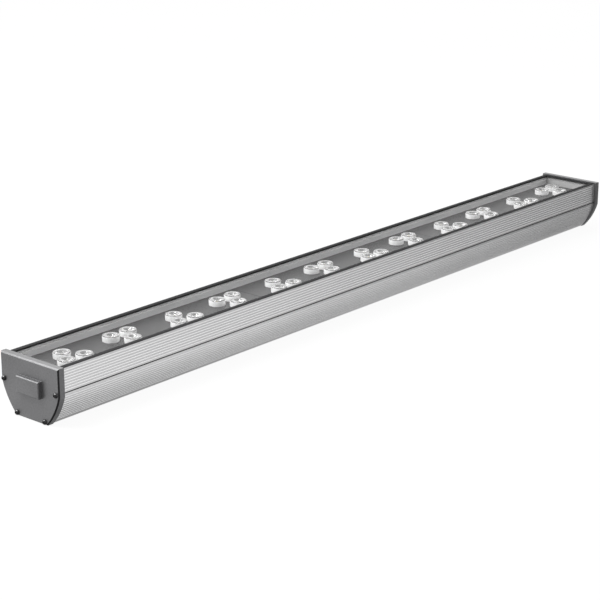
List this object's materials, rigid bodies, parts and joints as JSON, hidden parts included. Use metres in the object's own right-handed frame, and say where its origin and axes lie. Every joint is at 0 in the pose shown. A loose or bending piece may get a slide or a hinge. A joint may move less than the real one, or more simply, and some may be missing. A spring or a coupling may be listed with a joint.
{
  "type": "outdoor wall washer light",
  "caption": "Slim aluminium floodlight bar: reeded extruded housing, dark end caps, lens groups under flush glass, and track nuts that slide along its underside.",
  "frame": {"origin": "middle of the box round the part, on the plane that the end caps' flat feet stand on", "axes": "+X along the light towards the end cap with the cable inlet, +Z out through the cover glass, +Y towards the rear side wall"},
  "size_m": [1.01, 0.088, 0.065],
  "materials": {
    "housing": "anodised, drawn along its length, fine reeding",
    "end_cap": "satin dark grey powder coat",
    "gasket": "light grey silicone",
    "grommet_rubber": "matt black",
    "black_screw": "black oxide, glossy dome",
    "cover_glass": "clear, flat",
    "glazing_rubber": "satin black",
    "link_plastic": "white",
    "lead_red_black": "one red and one black sheath",
    "lead_brown_blue": "brown, blue and green sheaths",
    "driver_case": "plain sheet",
    "driver_board": "green laminate",
    "ferrite": "dark core with taped winding",
    "capacitor_sleeve": "dark blue sleeve",
    "terminal_plastic": "ivory",
    "zinc_screw": "zinc plated",
    "brass": "plain",
    "gland_metal": "turned",
    "nut_steel": "zinc plated",
    "led_board": "grey solder mask on aluminium",
    "led_emitter": "clear dome over yellow phosphor",
    "lens": "moulded clear acrylic",
    "lens_holder": "white"
  },
  "bodies": {
    "light": {"housing": "housing", "end_cap_near": "end_cap", "end_cap_far": "end_cap", "cap_gasket_near": "gasket", "cap_gasket_far": "gasket", "cap_screws_near": "black_screw", "cap_screws_far": "black_screw", "cover_glass": "cover_glass", "glazing_strip_front": "glazing_rubber", "glazing_strip_rear": "glazing_rubber", "glazing_end_near": "glazing_rubber", "glazing_end_far": "glazing_rubber", "board_links": "link_plastic", "lead_grommet": "grommet_rubber", "output_leads": "lead_red_black", "input_leads": "lead_brown_blue", "driver_tray": "driver_case", "driver_cover": "driver_case", "driver_board": "driver_board", "driver_transformer": "ferrite", "driver_capacitors": "capacitor_sleeve", "terminal_block": "terminal_plastic", "chassis_screws": "zinc_screw", "earth_screw": "brass", "inlet_seal": "grommet_rubber", "inlet_gland": "gland_metal", "led_board_a": "led_board", "led_board_b": "led_board", "led_board_c": "led_board", "leds_a": "led_emitter", "leds_b": "led_emitter", "leds_c": "led_emitter", "lens_trio_01": "lens", "lens_trio_02": "lens", "lens_trio_03": "lens", "lens_trio_04": "lens", "lens_trio_05": "lens", "lens_trio_06": "lens", "lens_trio_07": "lens", "lens_trio_08": "lens", "lens_trio_09": "lens", "lens_trio_10": "lens", "lens_trio_11": "lens", "lens_trio_12": "lens", "holder_trio_01": "lens_holder", "holder_trio_02": "lens_holder", "holder_trio_03": "lens_holder", "holder_trio_04": "lens_holder", "holder_trio_05": "lens_holder", "holder_trio_06": "lens_holder", "holder_trio_07": "lens_holder", "holder_trio_08": "lens_holder", "holder_trio_09": "lens_holder", "holder_trio_10": "lens_holder", "holder_trio_11": "lens_holder", "holder_trio_12": "lens_holder"},
    "near_nut": {"track_nut_near": "nut_steel"},
    "far_nut": {"track_nut_far": "nut_steel"}
  },
  "joints": [
    {"name": "near_nut_slide", "type": "slide", "parent": "light", "child": "near_nut", "axis": [1, 0, 0], "range_m": [-0.18, 0.28]},
    {"name": "far_nut_slide", "type": "slide", "parent": "light", "child": "far_nut", "axis": [1, 0, 0], "range_m": [-0.28, 0.18]}
  ]
}
